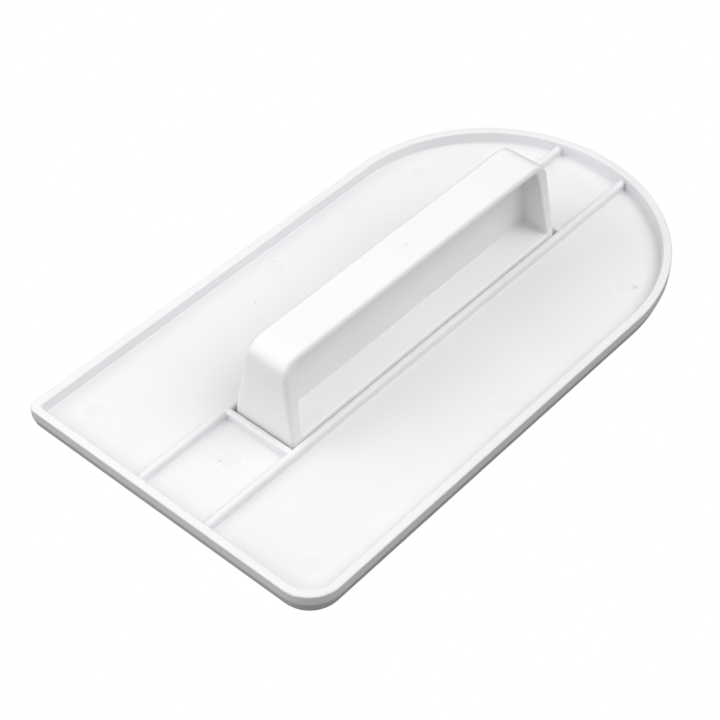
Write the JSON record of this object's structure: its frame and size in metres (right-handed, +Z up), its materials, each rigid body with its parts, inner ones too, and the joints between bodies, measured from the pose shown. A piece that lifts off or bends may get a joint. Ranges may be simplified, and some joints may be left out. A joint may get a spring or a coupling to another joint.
{
  "type": "icing smoother",
  "caption": "Hand-held smoother with a flat sole, square at one end and round at the other, in a shallow rimmed tray, with a box handle that has a finger recess on each side.",
  "frame": {"origin": "middle of the plate's bounding box on the flat underside", "axes": "+Y towards the round end, +X to the right seen from above with the round end away, +Z up out of the handle"},
  "size_m": [0.08, 0.145, 0.025],
  "materials": {
    "plate_plastic": "satin white, smooth moulded",
    "handle_plastic": "satin white, smooth moulded"
  },
  "bodies": {
    "root": {"base_plate": "plate_plastic", "handle": "handle_plastic"}
  },
  "joints": []
}
